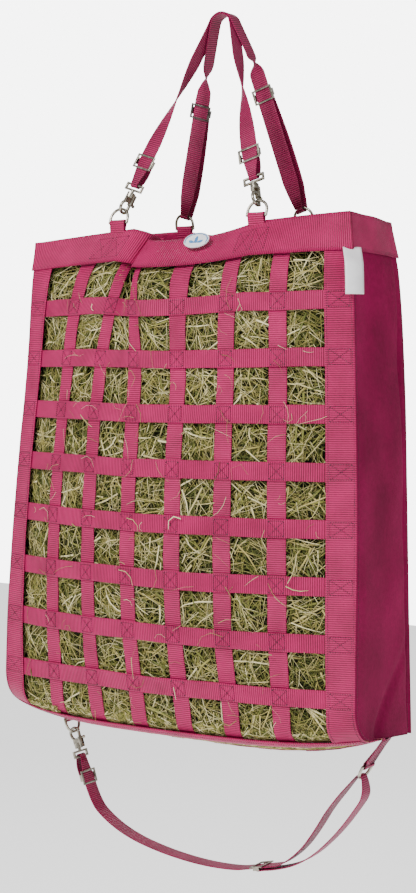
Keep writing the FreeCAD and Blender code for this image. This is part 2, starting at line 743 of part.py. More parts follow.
GLIDE_RUN = 7
run_start, run_end = lower_points[GLIDE_RUN], lower_points[GLIDE_RUN + 1]
slides["lower_keeper_slide"] = slide_frame(lower_snap_end, lower_points[1], size("front_glide_up") - 2)
slides["lower_tri_glide"] = frame_at((run_start + run_end) * 0.5, run_start - run_end, Y)
feature("lower_snap_loop", short_return(lower_snap_end, slides["lower_keeper_slide"]))
LOWER_RETURN = ((254, -1060), (241, -1080), (222, -1106), (201, -1130), (176, -1154), (148, -1173))
glide_stop = slides["lower_tri_glide"].multVec(Vector(0, THICK + 2 * GAP, -BAR_STOP))
lower_return = [Vector(x, lower_y, z) for x, z in LOWER_RETURN] + [glide_stop]
feature("lower_ring_layer", lower_ring_end.return_layer(lower_return))

# ---------------------------------------------------------------- hardware in place
for hand in ("left", "right"):
    d_ring("d_ring_front_" + hand, front_rings[hand].ring)
    d_ring("d_ring_back_" + hand, back_rings[hand].ring)
    d_ring("d_ring_lower_" + hand, lower_rings[hand].ring)
for name, place in (("left", front_rings["left"]), ("right", front_rings["right"]),
                    ("lower", lower_rings["left"])):
    snap_body("snap_body_" + name, place.snap)
    snap_gate("snap_gate_" + name, place.snap)
    snap_spring("snap_spring_" + name, place.snap)
    snap_eye("snap_eye_" + name, place.snap)
for name, placement in slides.items():
    strap_slide(name, placement)

top_tabs = []
for side, rings in ((FRONT, front_rings), (BACK, back_rings)):
    for place in rings.values():
        foot = place.ring.Base
        across = foot.x / stance(side, 0)[0]
        low = face_point(side, across, size("band_height"), -TAB_STAND)
        low.x = foot.x
        top_tabs.append(ring_tab(frame_at(foot, foot - low, X), 44))
tab_group("ring_tabs_top", top_tabs)
lower_tabs = []
for sign, hand in ((-1, "left"), (1, "right")):
    foot = lower_rings[hand].ring.Base
    lower_tabs.append(ring_tab(frame_at(foot, Vector(-sign * 15, 0, -17), Y), 21))
tab_group("ring_tabs_lower", lower_tabs)

# ---------------------------------------------------------------- badge and care label
BADGE = {"long": 20.0, "short": 13.0, "thick": 1.6}
badge = doc.addObject("Part::Feature", "badge")
oval = Part.Ellipse(ORIGIN, BADGE["long"], BADGE["short"]).toShape()
badge.Shape = Part.Face(Part.Wire(oval)).extrude(Vector(0, 0, BADGE["thick"]))
badge_at = face_point(FRONT, 0.14, 28, -3.2)
badge_up = face_point(FRONT, 0.14, 0) - face_point(FRONT, 0.14, 50)
badge.Placement = Placement(badge_at, Rotation(X, badge_up, Y * -1, "XYZ"))
keep(badge, "badge")

LABEL = (0.6, 26.0, 60.0)
label = doc.addObject("Part::Box", "care_label")
label.Length, label.Width, label.Height = LABEL
label_at = face_point(FRONT, 1, 105)
label.Placement = Placement(label_at + Vector(2.4, 6.5, 0), Rotation())
keep(label, "care_label")

# ---------------------------------------------------------------- check and write
doc.recompute()
faults = [o.Name for o in doc.Objects if {"Invalid", "Error"} & set(o.State)]
if faults:
    raise RuntimeError("failed objects: " + ", ".join(faults))
for piece in parts:
    if piece.Shape.isNull() or not piece.Shape.isValid():
        raise RuntimeError("bad shape: " + piece.Label)
    if not piece.Shape.Solids or piece.Shape.Volume <= 0:
        raise RuntimeError("no solid: " + piece.Label)
for piece in parts:
    piece.Shape.exportStep("parts/%s.step" % piece.Label)
print("wrote %d pieces" % len(parts))
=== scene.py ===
"""Looks of the webbing hay net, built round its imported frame. Everything is in metres."""
import json
import math
import random

import bpy
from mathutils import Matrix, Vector, noise as noise_lib

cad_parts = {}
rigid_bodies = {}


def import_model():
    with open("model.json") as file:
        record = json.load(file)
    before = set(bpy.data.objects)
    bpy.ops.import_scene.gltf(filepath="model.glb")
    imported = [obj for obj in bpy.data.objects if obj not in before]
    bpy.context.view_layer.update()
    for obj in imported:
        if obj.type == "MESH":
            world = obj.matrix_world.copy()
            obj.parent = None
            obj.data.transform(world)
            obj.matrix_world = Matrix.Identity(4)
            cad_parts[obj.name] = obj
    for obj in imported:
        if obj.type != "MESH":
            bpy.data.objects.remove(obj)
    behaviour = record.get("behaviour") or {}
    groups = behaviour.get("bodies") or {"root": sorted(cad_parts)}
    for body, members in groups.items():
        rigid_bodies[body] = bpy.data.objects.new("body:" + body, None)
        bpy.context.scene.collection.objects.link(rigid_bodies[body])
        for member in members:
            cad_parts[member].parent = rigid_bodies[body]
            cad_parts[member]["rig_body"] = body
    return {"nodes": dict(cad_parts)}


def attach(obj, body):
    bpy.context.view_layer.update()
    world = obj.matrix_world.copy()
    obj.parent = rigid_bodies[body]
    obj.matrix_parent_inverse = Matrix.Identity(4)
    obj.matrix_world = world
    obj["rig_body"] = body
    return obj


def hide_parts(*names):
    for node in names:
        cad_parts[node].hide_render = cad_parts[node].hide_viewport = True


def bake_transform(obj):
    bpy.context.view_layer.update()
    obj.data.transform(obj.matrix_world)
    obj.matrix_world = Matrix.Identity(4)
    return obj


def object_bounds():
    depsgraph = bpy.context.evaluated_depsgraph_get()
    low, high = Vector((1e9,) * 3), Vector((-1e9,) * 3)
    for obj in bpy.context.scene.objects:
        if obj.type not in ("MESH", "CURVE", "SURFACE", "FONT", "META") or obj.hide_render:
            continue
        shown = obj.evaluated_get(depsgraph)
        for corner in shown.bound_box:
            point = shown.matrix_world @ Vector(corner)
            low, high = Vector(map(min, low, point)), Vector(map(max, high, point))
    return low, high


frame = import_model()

CAD_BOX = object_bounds()
NODES = frame["nodes"]
X, Y, Z = Vector((1, 0, 0)), Vector((0, 1, 0)), Vector((0, 0, 1))
MM = 0.001

# ------------------------------------------------------------------ camera, light and stage
CAMERA_AIM = Vector((-0.0308, 0.003, -0.5982))
CAMERA_REACH = 2.375
CAMERA_AZIMUTH, CAMERA_RISE = math.radians(34.0), math.radians(3.3)
SENSOR = 36.0
LENS = 65.9
FLOOR_DROP, STAGE_REACH = 0.75, 6.0
SKY_LIGHT, SKY_SEEN = 0.52, 6.0


def make_camera():
    """The view of the photograph: from the front right, level with the net's upper half."""
    out = Vector((math.sin(CAMERA_AZIMUTH) * math.cos(CAMERA_RISE),
                  -math.cos(CAMERA_AZIMUTH) * math.cos(CAMERA_RISE), math.sin(CAMERA_RISE)))
    data = bpy.data.cameras.new("camera")
    data.sensor_fit = "VERTICAL"
    data.sensor_height = SENSOR
    data.lens = LENS
    camera = bpy.data.objects.new("camera", data)
    camera.location = CAMERA_AIM + out * CAMERA_REACH
    camera.rotation_euler = (-out).to_track_quat("-Z", "Y").to_euler()
    bpy.context.collection.objects.link(camera)
    bpy.context.scene.camera = camera


def area_light(name, place, aim, power, size):
    """A square soft light that points at a place."""
    data = bpy.data.lights.new(name, "AREA")
    data.energy = power
    data.size = size
    light = bpy.data.objects.new(name, data)
    light.location = place
    light.rotation_euler = (Vector(aim) - Vector(place)).to_track_quat("-Z", "Y").to_euler()
    bpy.context.collection.objects.link(light)


def plain_material(name, colour, roughness):
    """A material for the stage."""
    material = bpy.data.materials.new(name)
    material.use_nodes = True
    shader = material.node_tree.nodes["Principled BSDF"]
    shader.inputs["Base Color"].default_value = (*colour, 1)
    shader.inputs["Roughness"].default_value = roughness
    shader.inputs["Emission Color"].default_value = (1, 1, 1, 1)
    shader.inputs["Emission Strength"].default_value = 1.0
    return material


def make_stage():
    """A plain pale floor under the hung net, a pale sky and soft lights."""
    world = bpy.data.worlds.new("studio")
    bpy.context.scene.world = world
    world.use_nodes = True
    tree = world.node_tree
    sky = tree.nodes["Background"]
    sky.inputs["Color"].default_value = (1, 1, 1, 1)
    seen = tree.nodes.new("ShaderNodeLightPath").outputs["Is Camera Ray"]
    tree.links.new(maths(tree, "ADD", maths(tree, "MULTIPLY", seen, SKY_SEEN), SKY_LIGHT),
                   sky.inputs["Strength"])
    floor_z, reach = CAD_BOX[0][2] - FLOOR_DROP, STAGE_REACH
    corners = [(-reach, -reach, floor_z), (reach, -reach, floor_z), (reach, reach, floor_z),
               (-reach, reach, floor_z)]
    mesh = bpy.data.meshes.new("floor")
    mesh.from_pydata(corners, [], [(0, 1, 2, 3)])
    floor = bpy.data.objects.new("floor", mesh)
    floor.data.materials.append(plain_material("floor_paint", (0.93, 0.93, 0.93), 0.9))
    bpy.context.collection.objects.link(floor)
    middle = (0, -0.05, -0.6)
    area_light("key", (-0.3, -2.5, 1.3), middle, 100, 1.2)
    area_light("side", (2.3, -0.9, 0.5), middle, 13, 1.2)
    area_light("rim", (-1.6, 1.9, 0.7), middle, 26, 1.4)


# ------------------------------------------------------------------ mesh helpers
def link(mesh, name, material, body="root", smooth=True):
    """A new piece from a mesh, with its material, riding on a body."""
    piece = bpy.data.objects.new(name, mesh)
    bpy.context.collection.objects.link(piece)
    if smooth:
        mesh.polygons.foreach_set("use_smooth", [True] * len(mesh.polygons))
    mesh.materials.append(material)
    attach(piece, body)
    return piece


class Builder:
    """Collects the vertices, faces and flat cloth coordinates of one mesh."""

    def __init__(self):
        self.verts, self.faces, self.coords, self.tones = [], [], [], []

    def add(self, point, flat=(0.0, 0.0), tone=0.5):
        self.verts.append(tuple(point))
        self.coords.append(flat)
        self.tones.append(tone)
        return len(self.verts) - 1

    def rings(self, rows, closed=True, caps=True):
        """Faces between rows of vertex numbers, each row a ring, with end caps."""
        size = len(rows[0])
        around = range(size) if closed else range(size - 1)
        for near, far in zip(rows, rows[1:]):
            for k in around:
                n = (k + 1) % size
                self.faces.append((near[k], near[n], far[n], far[k]))
        if caps and closed:
            self.faces.append(tuple(reversed(rows[0])))
            self.faces.append(tuple(rows[-1]))

    def mesh(self, name):
        mesh = bpy.data.meshes.new(name)
        mesh.from_pydata(self.verts, [], self.faces)
        layer = mesh.uv_layers.new(name="cloth")
        flat = [c for loop in mesh.loops for c in self.coords[loop.vertex_index]]
        layer.data.foreach_set("uv", flat)
        tones = mesh.attributes.new("tone", "FLOAT", "POINT")
        tones.data.foreach_set("value", self.tones)
        mesh.validate()
        mesh.update()
        return mesh


# Section of woven strap: share of the half width, share of the half thickness, out side first.
WEB_SECTION = ((-1.0, 0.0), (-0.97, 0.8), (-0.9, 1.0), (-0.6, 0.86), (-0.2, 0.8), (0.2, 0.8), (0.6, 0.86),
               (0.9, 1.0), (0.97, 0.8), (1.0, 0.0), (0.97, -0.8), (0.9, -1.0), (0.0, -0.85), (-0.9, -1.0),
               (-0.97, -0.8))
UV_SCALE = 10.0
WEB_THICK = 1.7 * MM
WEB_WIDTH = 25.4 * MM


def web_strip(builder, stations, thick=WEB_THICK):
    """A woven strap through (centre, width way, face way, width, distance along) stations."""
    rows = []
    for centre, way, face, width, along in stations:
        row = []
        for across, up in WEB_SECTION:
            point = centre + way * (across * width / 2) + face * (up * thick / 2)
            row.append(builder.add(point, (along * UV_SCALE, across * width / 2 * UV_SCALE)))
        rows.append(row)
    builder.rings(rows)


# ------------------------------------------------------------------ materials
def node(tree, kind, **inputs):
    """A shader node with some inputs given by name or number: values or other nodes' outputs."""
    item = tree.nodes.new("ShaderNode" + kind)
    for key, value in inputs.items():
        socket = item.inputs[int(key[1:])] if key[0] == "i" and key[1:].isdigit() else item.inputs[key]
        if isinstance(value, bpy.types.NodeSocket):
            tree.links.new(value, socket)
        else:
            socket.default_value = value
    return item


def maths(tree, operation, a, b=0.0):
    """The output of one Math node."""
    item = node(tree, "Math", i0=a, i1=b)
    item.operation = operation
    return item.outputs[0]


def ramp(tree, factor, stops):
    """The colour output of a colour ramp through (place, colour) stops."""
    item = node(tree, "ValToRGB", i0=factor)
    while len(item.color_ramp.elements) < len(stops):
        item.color_ramp.elements.new(0.5)
    for element, (place, colour) in zip(item.color_ramp.elements, stops):
        element.position = place
        element.color = (*colour, 1)
    return item.outputs["Color"]


def new_material(name, roughness, metallic=0.0, sheen=0.0, specular=0.5):
    """An empty node material; returns it with its tree and its shader."""
    material = bpy.data.materials.new(name)
    material.use_nodes = True
    tree = material.node_tree
    shader = tree.nodes["Principled BSDF"]
    shader.inputs["Roughness"].default_value = roughness
    shader.inputs["Metallic"].default_value = metallic
    shader.inputs["Sheen Weight"].default_value = sheen
    shader.inputs["Sheen Tint"].default_value = (1.0, 0.45, 0.65, 1)
    shader.inputs["Specular IOR Level"].default_value = specular
    return material, tree, shader


def bump(tree, shader, height, strength, distance):
    """Joins a bump of some height to the shader."""
    item = node(tree, "Bump", Height=height)
    item.inputs["Strength"].default_value = strength
    item.inputs["Distance"].default_value = distance
    tree.links.new(item.outputs["Normal"], shader.inputs["Normal"])


def noise(tree, scale, detail=3.0, vector=None):
    """The grey output of a noise texture in object space, or on a vector."""
    if vector is None:
        vector = node(tree, "TexCoord").outputs["Object"]
    item = node(tree, "TexNoise", Vector=vector)
    item.inputs["Scale"].default_value = scale
    item.inputs["Detail"].default_value = detail
    return item.outputs["Fac"]


def cloth_axes(tree):
    """Distances along and across the cloth, in metres."""
    uv = node(tree, "UVMap")
    uv.uv_map = "cloth"
    parts = node(tree, "SeparateXYZ", i0=uv.outputs["UV"])
    along = maths(tree, "DIVIDE", parts.outputs[0], UV_SCALE)
    across = maths(tree, "DIVIDE", parts.outputs[1], UV_SCALE)
    return along, across


def wave(tree, distance, pitch, phase=0.0):
    """A sine of a distance, between 0 and 1, repeating every pitch metres."""
    turn = maths(tree, "ADD", maths(tree, "MULTIPLY", distance, 2 * math.pi / pitch), phase)
    return maths(tree, "ADD", maths(tree, "MULTIPLY", maths(tree, "SINE", turn), 0.5), 0.5)


def webbing_material(name, dark, middle, bright, roughness, sheen):
    """Woven strap: ribs across it with painted shade in their valleys, fine warp yarns along it, faded and
    dusty in patches.
    """
    material, tree, shader = new_material(name, roughness, sheen=sheen, specular=0.35)
    along, across = cloth_axes(tree)
    ribs = wave(tree, along, 2.9 * MM)
    yarns = wave(tree, across, 1.6 * MM, 1.0)
    weave = maths(tree, "ADD", maths(tree, "MULTIPLY", ribs, 0.8), maths(tree, "MULTIPLY", yarns, 0.2))
    patches = noise(tree, 26.0, 4.0)
    # The weave paints shade into the rib valleys; the patches are random fading and dust.
    tone = maths(tree, "ADD", maths(tree, "MULTIPLY", weave, 0.62), maths(tree, "MULTIPLY", patches, 0.42))
    colour = ramp(tree, tone, [(0.18, dark), (0.5, middle), (0.86, bright)])
    tree.links.new(colour, shader.inputs["Base Color"])
    bump(tree, shader, weave, 0.9, 0.7 * MM)
    return material


def canvas_material():
    """Plain weave canvas with slubs and soft fading."""
    material, tree, shader = new_material("canvas", 0.85, sheen=0.0, specular=0.12)
    along, across = cloth_axes(tree)
    warp, weft = wave(tree, along, 1.5 * MM), wave(tree, across, 1.5 * MM)
    weave = maths(tree, "ABSOLUTE", maths(tree, "SUBTRACT", warp, weft))
    slubs = noise(tree, 180.0, 2.0)
    fade = noise(tree, 9.0, 4.0)
    tone = maths(tree, "ADD", maths(tree, "MULTIPLY", weave, 0.3),
                 maths(tree, "ADD", maths(tree, "MULTIPLY", slubs, 0.25), maths(tree, "MULTIPLY", fade, 0.5)))
    colour = ramp(tree, tone, [(0.25, (0.085, 0.0006, 0.019)), (0.5, (0.20, 0.0013, 0.045)),
                               (0.8, (0.34, 0.003, 0.085))])
    tree.links.new(colour, shader.inputs["Base Color"])
    bump(tree, shader, weave, 0.4, 0.4 * MM)
    return material


def hay_material(name, stops, roughness=0.6):
    """Dry grass: each stalk its own tone, with painted shade on the stalks lying deeper, streaked along its
    length.
    """
    material, tree, shader = new_material(name, roughness, specular=0.3)
    tone = node(tree, "Attribute")
    tone.attribute_name = "tone"
    streaks = noise(tree, 240.0, 2.0)
    mixed = maths(tree, "ADD", tone.outputs["Fac"], maths(tree, "MULTIPLY", streaks, 0.22))
    tree.links.new(ramp(tree, mixed, stops), shader.inputs["Base Color"])
    bump(tree, shader, streaks, 0.4, 0.6 * MM)
    return material


def metal_material(name, colour, dull, roughness):
    """Plated metal, lightly clouded and scratched."""
    material, tree, shader = new_material(name, roughness, metallic=1.0)
    clouds = noise(tree, 120.0, 5.0)
    tree.links.new(ramp(tree, clouds, [(0.35, dull), (0.65, colour)]), shader.inputs["Base Color"])
    rough = maths(tree, "ADD", maths(tree, "MULTIPLY", noise(tree, 60.0), 0.22), roughness - 0.08)
    tree.links.new(rough, shader.inputs["Roughness"])
    bump(tree, shader, noise(tree, 420.0, 3.0), 0.12, 0.2 * MM)
    return material


def thread_seam_shade_material():
    """Twisted sewing thread, painted near-black as shade along the puckered seams."""
    material, tree, shader = new_material("thread", 0.5, sheen=0.3)
    twist = noise(tree, 700.0, 2.0)
    # Painted shade: the thread is darkened to stand for the shade of the puckered seams.
    colours = [(0.3, (0.018, 0.0003, 0.005)), (0.7, (0.075, 0.001, 0.017))]
    tree.links.new(ramp(tree, twist, colours), shader.inputs["Base Color"])
    bump(tree, shader, twist, 0.4, 0.3 * MM)
    return material


def satin_material():
    """White satin ribbon with fine cross threads."""
    material, tree, shader = new_material("satin", 0.35, sheen=0.4)
    threads = wave(tree, cloth_axes(tree)[0], 0.7 * MM)
    cloudy = maths(tree, "MULTIPLY", noise(tree, 60.0), 0.6)
    tone = maths(tree, "ADD", maths(tree, "MULTIPLY", threads, 0.3), cloudy)
    tree.links.new(ramp(tree, tone, [(0.2, (0.70, 0.70, 0.72)), (0.7, (0.93, 0.93, 0.93))]),
                   shader.inputs["Base Color"])
    bump(tree, shader, threads, 0.25, 0.2 * MM)
    return material


def print_material():
    """Blue printing ink, slightly worn."""
    material, tree, shader = new_material("print_blue", 0.35)
    wear = noise(tree, 400.0, 3.0)
    tree.links.new(ramp(tree, wear, [(0.3, (0.10, 0.30, 0.55)), (0.7, (0.03, 0.16, 0.42))]),
                   shader.inputs["Base Color"])
    return material


def badge_material():
    """Glossy white enamel over pressed metal, faintly uneven."""
    material, tree, shader = new_material("badge_white", 0.22, specular=0.6)
    clouds = noise(tree, 90.0, 3.0)
    tree.links.new(ramp(tree, clouds, [(0.3, (0.74, 0.76, 0.80)), (0.7, (0.90, 0.91, 0.93))]),
                   shader.inputs["Base Color"])
    bump(tree, shader, clouds, 0.1, 0.3 * MM)
    return material


WEB = webbing_material("net_webbing", (0.075, 0.0004, 0.011), (0.33, 0.0009, 0.062),
                       (0.60, 0.003, 0.14), 0.55, 0.03)
HANGER_WEB = webbing_material("hanger_webbing", (0.06, 0.0006, 0.011), (0.21, 0.001, 0.044),
                              (0.44, 0.003, 0.10), 0.48, 0.03)
CANVAS = canvas_material()
STALK = hay_material("hay_stalks", [(0.05, (0.02, 0.025, 0.006)), (0.25, (0.10, 0.12, 0.025)),
                                    (0.45, (0.29, 0.28, 0.065)), (0.65, (0.46, 0.38, 0.12)),
                                    (0.98, (0.80, 0.72, 0.40))])
# Painted shade: the near-black core stands for the shade deep inside the hay.
CORE_SHADE = hay_material("hay_shade_core", [(0.3, (0.008, 0.008, 0.003)), (0.8, (0.05, 0.05, 0.015))], 0.9)
# Thread darkened as painted seam shade.
THREAD_SEAM_SHADE = thread_seam_shade_material()
SATIN = satin_material()
NICKEL = metal_material("nickel", (0.50, 0.46, 0.38), (0.22, 0.20, 0.16), 0.24)
# Painted shade: a darker copy of the nickel, put on the left tri-glide only.
SHADED_NICKEL = metal_material("nickel_painted_shade", (0.20, 0.18, 0.16), (0.07, 0.062, 0.055), 0.32)
BADGE_WHITE = badge_material()
PRINT_BLUE = print_material()
SPRING_STEEL = metal_material("spring_steel", (0.6, 0.6, 0.62), (0.4, 0.4, 0.42), 0.3)

# ------------------------------------------------------------------ the bag's faces, in millimetres of cloth
# Depth down the cloth, then half width, corner and bulge of the front and of the back.
STANCE = ((0, 243, -84, 14, 230, 66, -26), (75, 258, -96, 58, 240, 78, 0),
          (228, 273, -109, 64, 248, 83, 14), (380, 284, -122, 66, 252, 84, 20),
          (560, 290, -133, 54, 256, 85, 20), (732.4, 290, -136, 18, 262, 84, 10))
RIM_Z, FALL, HALF, DEEP, SIDE = -283.0, 0.975, 292.0, 732.4, 215.0
PITCH, BAND, OPEN, BORDER = 76.2, 50.0, 50.8, 38.0
UPRIGHTS = [(k - 2.5) * PITCH for k in range(6)]
ROWS = [BAND + (row + 1) * OPEN + row * 25.4 + 12.7 for row in range(8)]


def stance(depth):
    """Half width, corner and bulge of the front and of the back, smoothly between the stations."""
    last = len(STANCE) - 2
    k = next((i for i in range(last + 1) if depth < STANCE[i + 1][0]), last)
    a, b = STANCE[k], STANCE[k + 1]
    before, after = STANCE[max(0, k - 1)], STANCE[min(last + 1, k + 2)]
    span = b[0] - a[0]
    t = min(1.0, max(0.0, (depth - a[0]) / span))
    values = []
    for i in range(1, 7):
        lead = (b[i] - before[i]) / (b[0] - before[0]) * span
        tail = (after[i] - a[i]) / (after[0] - a[0]) * span
        values.append((2 * t ** 3 - 3 * t * t + 1) * a[i] + (t ** 3 - 2 * t * t + t) * lead
                      + (3 * t * t - 2 * t ** 3) * b[i] + (t ** 3 - t * t) * tail)
    return values


def rim_lift(u):
    """How far the rim stands over its level line: it sags between the ring tabs and at the left corner."""
    if u < -139:
        return -7 - 12 * (-139 - u) / 153
    if u > 139:
        return -5 + 11 * (u - 139) / 153
    return -6 - 20 * math.cos(math.pi * u / 278)


def front_point(u, v):
    """A point of the front face, with the pleat by the left tab and the two pulled rim corners."""
    half, corner, bulge = stance(v)[:3]
    a, depth = u / HALF, max(0.0, v)
    fade, near = math.exp(-(depth / 130) ** 2), math.exp(-depth / 120)
    left, right = max(0.0, -a) ** 4, max(0.0, a) ** 4
    gather = math.exp(-((u + 120) / (90 if u < -120 else 30)) ** 2)
    x = half * a + (26 * gather - 32 * math.exp(-((u + 20) / 55) ** 2)) * fade
    x += (-14 * left - 5.5 * right) * near
    y = corner - bulge * (1 - a * a) + 35 * math.exp(-((u + 85) / 28) ** 2) * fade
    y += (-26 * left + 24 * right) * near
    low = (depth / 700) ** 3
    curl_from = 700 - 42 * a ** 4
    radius = (DEEP - curl_from) / 1.5
    drop = FALL * min(v, curl_from) + (9 * (1 - a) / 2 - 4 * (1 + a) / 2) * low
    x -= 10 * left * low
    if v > curl_from:
        turn = (v - curl_from) / radius
        drop += radius * math.sin(turn)
        y += radius * (1 - math.cos(turn))
    return Vector((x, y, RIM_Z - drop + rim_lift(u) * math.exp(-depth / 90))) * MM


def back_point(u, v):
    """A point of the back face."""
    half, corner, bulge = stance(v)[3:]
    a = u / HALF
    sag = -12 * math.cos(math.pi * u / 262) if abs(u) < 131 else 0.0
    return Vector((half * a, corner + bulge * (1 - a * a), RIM_Z - FALL * v + sag * math.exp(-v / 90))) * MM


def ripple(x, y, seed):
    """Smooth noise between about -1 and 1."""
    from_noise = noise_lib.noise(Vector((x, y, seed * 7.31)))
    return from_noise * 1.6


def side_face(hand):
    """The canvas side of one hand: u runs from the front corner to the back one."""
    def point(u, v):
        s = u / SIDE
        p = front_point(hand * HALF, v).lerp(back_point(hand * HALF, v), s)
        bow = 4 * s * (1 - s)
        folds = 3.2 * ripple(u / 95, v / 140, hand) + 1.1 * ripple((u + 0.4 * v) / 60, v / 90, hand + 4)
        crease = -7.0 * math.exp(-((u - 188 - 0.02 * v) / 9) ** 2) * min(1.0, v / 200)
        corner_pull = -8.0 * math.exp(-((u - 40 - (732 - v) * 1.1) / 16) ** 2) * max(0.0, 1 - (732 - v) / 170)
        out = (3.0 + folds) * min(1.0, bow * 2.2) + crease + corner_pull * min(1.0, bow * 3)
        return p + X * (hand * (out - 1.5) * MM)
    return point


def floor_point(u, t):
    """The floor of the net: t runs from the front edge to the back one in millimetres of depth."""
    s = t / 220.0
    p = front_point(u, DEEP).lerp(back_point(u, DEEP), s)
    sag = 25 * 4 * s * (1 - s) * (1 - (u / HALF) ** 4)
    return p - Z * (sag * MM)


def top_point(u, t):
    """The top of the hay, heaped a little between the faces."""
    s = t / 150.0
    p = front_point(u, 36).lerp(back_point(u, 36), s)
    heap = 10 * 4 * s * (1 - s) * (1 - (u / HALF) ** 2) + 5 * ripple(u / 60, t / 45, 9)
    return p + Z * (heap * MM)


class Face:
    """A surface with a flat pattern: points at a distance out of it."""

    def __init__(self, point, sign):
        self.point, self.sign = point, sign

    def at(self, u, v, out=0.0):
        p = self.point(u, v)
        if not out:
            return p
        n = (self.point(u + 1.5, v) - p).cross(self.point(u, v + 1.5) - p)
        return p + n.normalized() * (self.sign * out * MM)


FRONT, BACK = Face(front_point, -1), Face(back_point, 1)
RIGHT, LEFT = Face(side_face(1), -1), Face(side_face(-1), 1)
FLOOR, TOP = Face(floor_point, -1), Face(top_point, 1)


def strap_on(builder, face, start, end, width, out, step=7.0, seed=0.0, slack=1.0):
    """A strap laid flat on a face, a little uneven between the crossings where it is sewn."""
    run = Vector(end) - Vector(start)
    count = max(2, int(run.length / step))
    cross = Vector((-run.y, run.x)).normalized() * (width / 2)
    stations = []
    for k in range(count + 1):
        here = Vector(start) + run * (k / count)
        here += cross.normalized() * (slack * 0.9 * ripple(here.x / 90, here.y / 90, seed))
        loose = slack * (math.cos(math.pi * here.x / PITCH) ** 2 if abs(run.x) > abs(run.y)
                         else math.cos(math.pi * (here.y - 75.4) / PITCH) ** 2)
        lift = out + loose * 0.8 * ripple(here.x / 40, here.y / 40, seed + 3)
        tip = loose * 1.1 * ripple(here.x / 55, here.y / 55, seed + 6)
        a = face.at(here.x - cross.x, here.y - cross.y, lift + tip)
        b = face.at(here.x + cross.x, here.y + cross.y, lift - tip)
        way = (b - a).normalized()
        ahead = face.at(here.x + run.normalized().x, here.y + run.normalized().y, lift) - (a + b) / 2
        normal = way.cross(ahead).normalized()
        stations.append(((a + b) / 2, way, normal, (b - a).length, run.length * k / count * MM))
    web_strip(builder, stations)


def slab(builder, face, spans, counts, outs, wrap=0.0):
    """A thin layer of cloth on a face, closed round its edges; wrap turns its long edges up a little."""
    (u0, u1), (v0, v1) = spans
    us = [u0 + (u1 - u0) * k / counts[0] for k in range(counts[0] + 1)]
    vs = [v0 + (v1 - v0) * k / counts[1] for k in range(counts[1] + 1)]
    front, back = [], []
    for layer, out in ((front, outs[1]), (back, outs[0])):
        for k, v in enumerate(vs):
            rise = wrap if k in (0, 1, counts[1] - 1, counts[1]) else 0.0
            layer.append([builder.add(face.at(u, v, out + rise), (u * MM * UV_SCALE, v * MM * UV_SCALE))
                          for u in us])
    for i in range(len(vs) - 1):
        for j in range(len(us) - 1):
            builder.faces.append((front[i][j], front[i][j + 1], front[i + 1][j + 1], front[i + 1][j]))
            builder.faces.append((back[i][j], back[i + 1][j], back[i + 1][j + 1], back[i][j + 1]))
    for j in range(len(us) - 1):
        for i in (0, len(vs) - 1):
            builder.faces.append((front[i][j], back[i][j], back[i][j + 1], front[i][j + 1]))
    for i in range(len(vs) - 1):
        for j in (0, len(us) - 1):
            builder.faces.append((front[i][j], front[i + 1][j], back[i + 1][j], back[i][j]))


def stitch(builder, a, b, normal, thick=0.6):
    """One thread stitch from a to b, sunk at its ends."""
    run = b - a
    side = run.cross(normal).normalized() * (thick * MM)
    up = normal * (thick * MM)
    middle = (a + b) / 2
    near, far = builder.add(a - up * 0.6), builder.add(b - up * 0.6)
    ring = [builder.add(middle + side), builder.add(middle + up * 1.2), builder.add(middle - side),
            builder.add(middle - up)]
    for k in range(4):
        n = (k + 1) % 4
        builder.faces.append((near, ring[k], ring[n]))
        builder.faces.append((far, ring[n], ring[k]))


def stitch_line(builder, place, start, end, pitch=3.0):
    """A row of stitches between two flat points; place turns a flat point into a point and a normal."""
    run = Vector(end) - Vector(start)
    count = max(1, round(run.length / pitch))
    for k in range(count):
        a, b = Vector(start) + run * ((k + 0.06) / count), Vector(start) + run * ((k + 0.94) / count)
        p, normal = place(a.x, a.y)
        q = place(b.x, b.y)[0]
        stitch(builder, p, q, normal)


def x_box(builder, place, u, v, half_u=10.3, half_v=10.3):
    """A box of stitches with crossing diagonals."""
    corners = [(u - half_u, v - half_v), (u + half_u, v - half_v),
               (u + half_u, v + half_v), (u - half_u, v + half_v)]
    for a, b in zip(corners, corners[1:] + corners[:1]):
        stitch_line(builder, place, a, b)
    stitch_line(builder, place, corners[0], corners[2])
    stitch_line(builder, place, corners[1], corners[3])


def on_face(face, out):
    """Where the stitches of a face lie."""
    def place(u, v):
        p = face.at(u, v, out)
        normal = (p - face.at(u, v, out - 1.0)).normalized()
        return p, normal
    return place


def stalk(builder, points, normal_of, width, height, tone):
    """A dry stalk or blade through points, triangular in section and tapered to its tip."""
    rows = []
    for k, p in enumerate(points):
        ahead = points[min(k + 1, len(points) - 1)] - points[max(k - 1, 0)]
        normal = normal_of
        side = ahead.cross(normal).normalized()
        taper = 1.0 - 0.55 * k / (len(points) - 1)
        rows.append([builder.add(p - side * (width * taper), tone=tone),
                     builder.add(p + side * (width * taper), tone=tone),
                     builder.add(p + normal * (height * taper), tone=tone)])
    builder.rings(rows)


